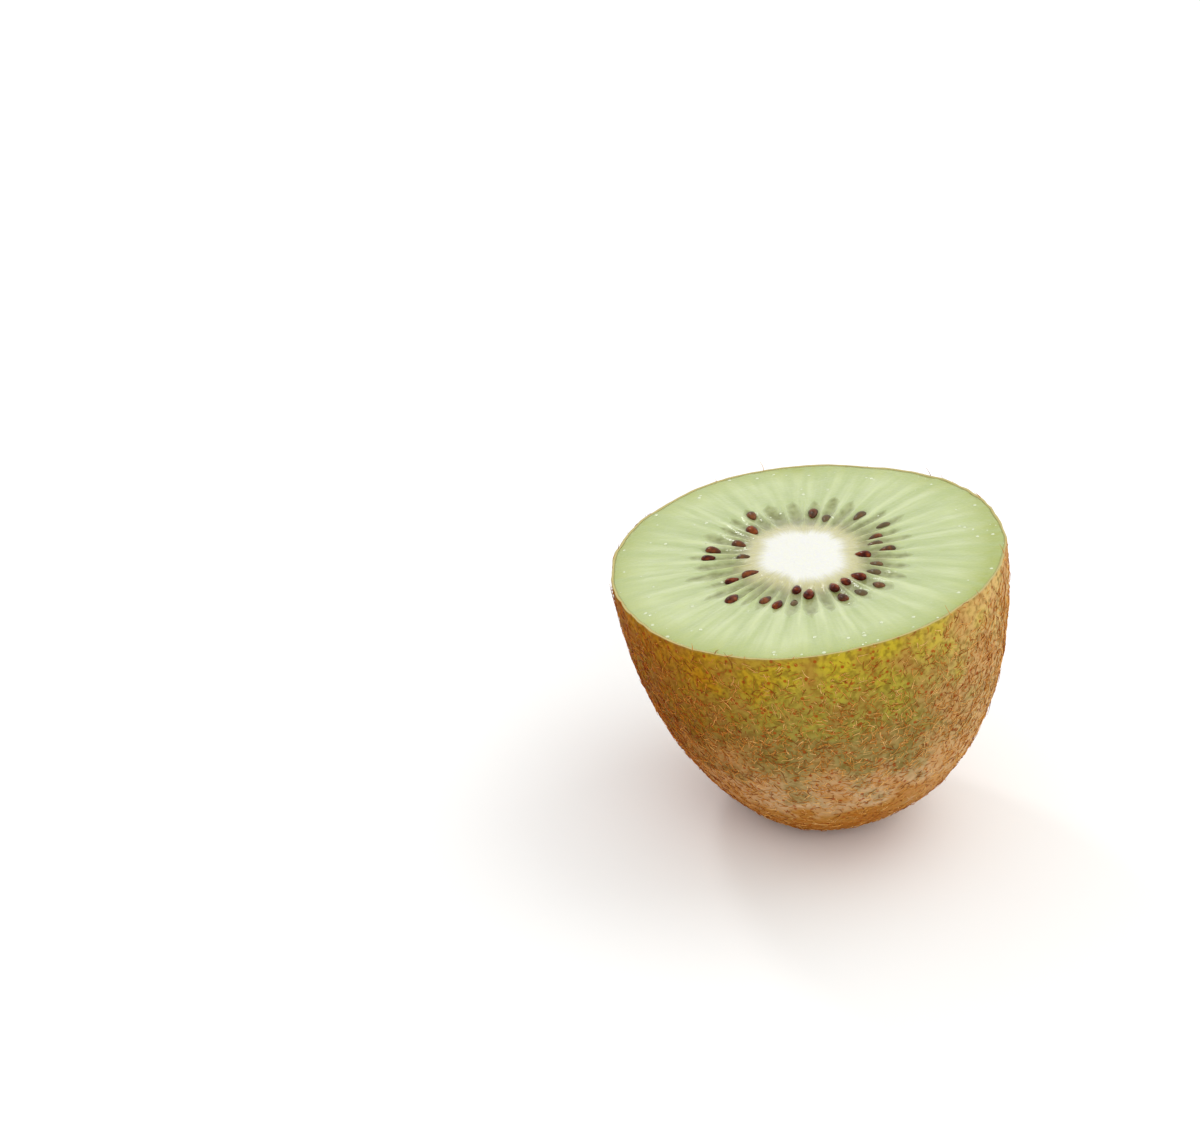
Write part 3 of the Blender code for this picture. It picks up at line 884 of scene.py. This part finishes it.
# %% Material: hair
def hair_fibre():
    material, add, spot, shader = new_material("dry kiwi hair")
    tone = add("ShaderNodeAttribute", attribute_name="tone")
    colour = add(
        "ShaderNodeValToRGB",
        {0: tone.outputs["Fac"]},
        stops=((0.0, "#803E06"), (0.3, "#B46C1C"), (0.7, "#D69A48"), (1.0, "#E8BC76")),
    )
    patches = add("ShaderNodeTexNoise", {"Vector": spot, "Scale": 1 / MOTTLE_SIZE, "Detail": 3.0})
    # Painted shade: on the left side of the fruit the hairs are painted darker and more orange, as the skin
    # under them is.
    painted_shade_mask = painted_light_side(add, spot, patches, PAINTED_SHADE_FROM, PAINTED_SHADE_TO)
    tinted = add(
        "ShaderNodeMix", {0: painted_shade_mask, 6: colour, 7: "#DCA828"}, data_type="RGBA", blend_type="MULTIPLY"
    )
    feed_node(shader, {"Base Color": tinted, "Roughness": 0.55, "IOR": 1.55, "Specular IOR Level": 0.1})
    return material


# %% The tree that grows hairs
MEASURES = ("Density", "Shortest", "Longest", "Thickness", "Rise", "Curl")
WHOLE_NUMBERS = ("Points", "Random")
HAIR_SIZES = dict.fromkeys(MEASURES, "NodeSocketFloat") | dict.fromkeys(WHOLE_NUMBERS, "NodeSocketInt")
HAIR_SIDES = 3
HAIR_ARCH = 2.2
HAIR_TIP = 0.3
LEAST_RISE = 0.3
SLANT = (0.31, 0.17, 0.93)


def hair_tree(material):
    tree, add, given = new_tree("grow hairs", HAIR_SIZES)
    growth = add("GeometryNodeInputNamedAttribute", {"Name": "growth"})
    density = add("ShaderNodeMath", {0: growth, 1: given["Density"]}, operation="MULTIPLY")
    roots = add(
        "GeometryNodeDistributePointsOnFaces",
        {"Mesh": given["Geometry"], "Density": density, "Seed": given["Random"]},
    )

    # Each root keeps where it is, the way out of the skin, and its own draws.
    where = add("GeometryNodeInputPosition")
    kept = roots.outputs["Points"]
    draws = {
        "heading": (0.0, 2 * math.pi),
        "length": (given["Shortest"], given["Longest"]),
        "rise": (LEAST_RISE, 1.0),
        "twist": (-1.0, 1.0),
        "tone": (0.0, 1.0),
    }
    for name, feed in (("root", where), ("out", roots.outputs["Normal"])):
        kept = add(
            "GeometryNodeStoreNamedAttribute",
            {"Geometry": kept, "Name": name, "Value": feed},
            data_type="FLOAT_VECTOR",
        )
    for offset, (name, (low, high)) in enumerate(draws.items()):
        seed = add("ShaderNodeMath", {0: given["Random"], 1: float(offset)}, operation="ADD")
        drawn = add("FunctionNodeRandomValue", {2: low, 3: high, "Seed": seed})
        kept = add("GeometryNodeStoreNamedAttribute", {"Geometry": kept, "Name": name, "Value": drawn})
    line = add("GeometryNodeCurvePrimitiveLine")
    strand = add("GeometryNodeResampleCurve", {"Curve": line, "Count": given["Points"]})
    placed = add("GeometryNodeInstanceOnPoints", {"Points": kept, "Instance": strand})
    real = add("GeometryNodeRealizeInstances", {0: placed})

    # A hair leaves its root along the heading, rises and falls back, and curls to one side.
    read = {}
    for name in ("root", "out", "heading", "length", "rise", "twist"):
        kind = "FLOAT_VECTOR" if name in ("root", "out") else "FLOAT"
        read[name] = add("GeometryNodeInputNamedAttribute", {"Name": name}, data_type=kind)
    along = add("GeometryNodeSplineParameter").outputs["Factor"]
    level = add("ShaderNodeVectorMath", {0: read["out"], 1: SLANT}, operation="CROSS_PRODUCT")
    sideways = add("ShaderNodeVectorMath", {0: level}, operation="NORMALIZE")
    ahead = add(
        "ShaderNodeVectorRotate", {"Vector": sideways, "Axis": read["out"], "Angle": read["heading"]}
    )
    aside = add("ShaderNodeVectorMath", {0: read["out"], 1: ahead}, operation="CROSS_PRODUCT")
    arch = add("ShaderNodeMath", {0: along, 1: HAIR_ARCH}, operation="MULTIPLY")
    arched = add("ShaderNodeMath", {0: arch}, operation="SINE")
    lifted = add("ShaderNodeMath", {0: arched, 1: given["Rise"]}, operation="MULTIPLY")
    lift = add("ShaderNodeMath", {0: lifted, 1: read["rise"]}, operation="MULTIPLY")
    bend = add("ShaderNodeMath", {0: along, 1: 2.0}, operation="POWER")
    curled = add("ShaderNodeMath", {0: bend, 1: given["Curl"]}, operation="MULTIPLY")
    curl = add("ShaderNodeMath", {0: curled, 1: read["twist"]}, operation="MULTIPLY")
    parts = [
        add("ShaderNodeVectorMath", {0: way, "Scale": amount}, operation="SCALE")
        for way, amount in ((ahead, along), (read["out"], lift), (aside, curl))
    ]
    sum_two = add("ShaderNodeVectorMath", {0: parts[0], 1: parts[1]}, operation="ADD")
    shape = add("ShaderNodeVectorMath", {0: sum_two, 1: parts[2]}, operation="ADD")
    sized = add("ShaderNodeVectorMath", {0: shape, "Scale": read["length"]}, operation="SCALE")
    path = add("ShaderNodeVectorMath", {0: read["root"], 1: sized}, operation="ADD")
    bent = add("GeometryNodeSetPosition", {"Geometry": real, "Position": path})

    # The tube narrows to its tip. Its outline has radius 0.5, so Thickness is the hair's diameter.
    taper = add("ShaderNodeMapRange", {0: along, 1: 0.0, 2: 1.0, 3: 1.0, 4: HAIR_TIP})
    radius = add("ShaderNodeMath", {0: taper, 1: given["Thickness"]}, operation="MULTIPLY")
    outline = add("GeometryNodeCurvePrimitiveCircle", {"Resolution": HAIR_SIDES, "Radius": 0.5})
    tube = add(
        "GeometryNodeCurveToMesh",
        {"Curve": bent, "Profile Curve": outline, "Scale": radius, "Fill Caps": True},
    )
    lead_out(add, tube, material)
    return tree


# %% Grow the three kinds of hair
BARE_FOOT_HEIGHT = 0.0004
GROWTH_STOPS = ((0.0, 0.1), (0.03, 0.4), (0.1, 0.7), (0.2, 1.0), (0.33, 1.0), (0.45, 0.5), (1.0, 0.35))


def growth_at(down):
    """How thickly hairs grow at this place down the fruit."""
    for (start, low), (end, high) in zip(GROWTH_STOPS, GROWTH_STOPS[1:]):
        if down <= end:
            return low + (high - low) * (down - start) / (end - start)
    return GROWTH_STOPS[-1][1]


def add_growth(mesh, first_outer_ring):
    """Stores how thickly hairs grow: not inside the shell, at its two tips or where it meets the table."""
    numbers = []
    for ring, zone in enumerate(skin_zones):
        numbers += [growth_at(zone) if ring >= first_outer_ring else 0.0] * len(SPOKES)
    numbers += [0.0, 0.0]
    for vertex in mesh.vertices:
        if vertex.co.z < REST_LEVEL + BARE_FOOT_HEIGHT:
            numbers[vertex.index] = 0.0
    store_numbers(mesh, "growth", numbers)


add_growth(skin_mesh, len(inner_rings) + 1)
hair_material = hair_fibre()
hairs_tree = hair_tree(hair_material)

# Each row holds the tree's inputs, in the order of HAIR_SIZES.
HAIR_KINDS = {
    "down_hairs": (2.2e6, 0.0004, 0.0012, 0.00013, 0.12, 0.7, 4, 3),
    "fuzz_hairs": (2.2e6, 0.0003, 0.0008, 0.00010, 0.20, 0.6, 4, 70),
    "long_hairs": (0.25e6, 0.0011, 0.0018, 0.00012, 0.13, 1.0, 8, 40),
}
for name, row in HAIR_KINDS.items():
    hair_mesh = grow(skin, hairs_tree, dict(zip(HAIR_SIZES, row)))
    press_flat(hair_mesh.vertices, REST_LEVEL)
    add_piece(name, hair_mesh, hair_material)

# %% [markdown]
# ## Juice
#
# A fresh cut sweats tiny beads of juice, most of them along the rim. They show as white sparks.
# Each is a flattened ball, strewn over the face by Geometry Nodes. So thin a bead takes the colour of the
# flesh that it lies on, so it is drawn in a paler flesh colour with the mirror shine of a liquid. That
# keeps it bright, where a refracting ball this small would only throw a dark speck under itself.

# %% Material: juice
RIPPLES_PER_METRE = 3000.0
JUICE_CLOUD = 0.0025


def clear_juice():
    material, add, spot, shader = new_material("clear kiwi juice")
    ripple = add("ShaderNodeTexNoise", {"Vector": spot, "Scale": RIPPLES_PER_METRE})
    bump = add("ShaderNodeBump", {"Height": ripple, "Strength": 0.1, "Distance": 0.00003})
    cloud = add("ShaderNodeTexNoise", {"Vector": spot, "Scale": 1 / JUICE_CLOUD})
    tint = add("ShaderNodeMix", {0: cloud, 6: "#C6D0A2", 7: "#DCE3C2"}, data_type="RGBA")
    feed_node(shader, {"Base Color": tint, "Normal": bump, "Roughness": 0.03, "IOR": 1.35})
    feed_node(shader, {"Coat Weight": 1.0, "Coat Roughness": 0.02, "Coat IOR": 1.35})
    return material


# %% Strew the beads of juice
BEAD_SIZES = {"Density": 0.11e6, "Smallest": 0.00006, "Largest": 0.00024}
BEAD_FLATNESS = 0.25
BEAD_SPOT_SEED, BEAD_SIZE_SEED = 5, 9
WET_ZONES = (1.1, 3.0)
WETNESS = 0.25
RIM_ZONE = 2.5
RIM_WETNESS = 3


def bead_tree(material):
    tree, add, given = new_tree("strew juice", dict.fromkeys(BEAD_SIZES, "NodeSocketFloat"))
    wetness = add("GeometryNodeInputNamedAttribute", {"Name": "wetness"})
    density = add("ShaderNodeMath", {0: wetness, 1: given["Density"]}, operation="MULTIPLY")
    spots = add(
        "GeometryNodeDistributePointsOnFaces",
        {"Mesh": given["Geometry"], "Density": density, "Seed": BEAD_SPOT_SEED},
    )
    bead = add("GeometryNodeMeshIcoSphere", {"Radius": 1.0, "Subdivisions": 3})
    flat = add("GeometryNodeTransform", {"Geometry": bead, "Scale": (1.0, 1.0, BEAD_FLATNESS)})
    smooth = add("GeometryNodeSetShadeSmooth", {"Geometry": flat})
    size = add(
        "FunctionNodeRandomValue", {2: given["Smallest"], 3: given["Largest"], "Seed": BEAD_SIZE_SEED}
    )
    placed = add(
        "GeometryNodeInstanceOnPoints",
        {"Points": spots, "Instance": smooth, "Rotation": spots.outputs["Rotation"], "Scale": size},
    )
    lead_out(add, placed, material)
    return tree


def wetness_at(zone):
    """How many beads lie in a zone of the face: none on the core, most near the rim."""
    if not WET_ZONES[0] <= zone < WET_ZONES[1]:
        return 0.0
    return WETNESS if zone < RIM_ZONE else WETNESS + RIM_WETNESS * (zone - RIM_ZONE)


wetness = [wetness_at(zone) for zone in flesh_zones for _ in SPOKES] + [0.0, 0.0]
store_numbers(flesh_mesh, "wetness", wetness)
juice_material = clear_juice()
beads_mesh = grow(flesh, bead_tree(juice_material), BEAD_SIZES)
add_piece("juice_beads", beads_mesh, juice_material)

# %% [markdown]
# ## Floor and light
#
# The setting is a bright plain studio: a pale floor, a white sky, a large soft lamp above on the right,
# another in front, and a small one behind on the left that gives the wet parts their sparks. The picture is
# shown without a film curve, because a high-key picture has whites that are really white.

# %% Material and mesh of the floor
FLOOR_REACH = 3.0
FLOOR_CLOUD = 0.2
FLOOR_CORNERS = ((-1, -1), (1, -1), (1, 1), (-1, 1))


def pale_floor():
    material, add, spot, shader = new_material("pale matt floor")
    cloud = add("ShaderNodeTexNoise", {"Vector": spot, "Scale": 1 / FLOOR_CLOUD})
    tint = add("ShaderNodeMix", {0: cloud, 6: "#F4F4F2", 7: "#F8F8F7"}, data_type="RGBA")
    feed_node(shader, {"Base Color": tint, "Roughness": 0.9})
    return material


floor_points = [(x * FLOOR_REACH, y * FLOOR_REACH, REST_LEVEL) for x, y in FLOOR_CORNERS]
floor_mesh = new_mesh("floor", floor_points, [(0, 1, 2, 3)])
floor_mesh.materials.append(pale_floor())
floor = put_in_scene("floor", floor_mesh)

# %% Lamps and sky
SKY_STRENGTH = 0.93
LAMPS = (
    ("soft_lamp", (0.35, 0.15, 0.50), 0.50, 0.9),
    ("front_lamp", (0.20, -0.60, 0.35), 0.50, 1.1),
    ("spark_lamp", (-0.30, 0.45, 0.50), 0.10, 0.7),
)

sky = bpy.data.worlds.new("white sky")
sky.use_nodes = True
feed_node(sky.node_tree.nodes["Background"], {"Color": "#FFFFFF", "Strength": SKY_STRENGTH})
bpy.context.scene.world = sky
for name, place, size, power in LAMPS:
    lamp_data = bpy.data.lights.new(name, "AREA")
    lamp_data.size = size
    lamp_data.energy = power
    lamp = put_in_scene(name, lamp_data)
    lamp.location = place
    lamp.rotation_euler = (face_centre - Vector(place)).to_track_quat("-Z", "Y").to_euler()
bpy.context.scene.view_settings.view_transform = "Standard"
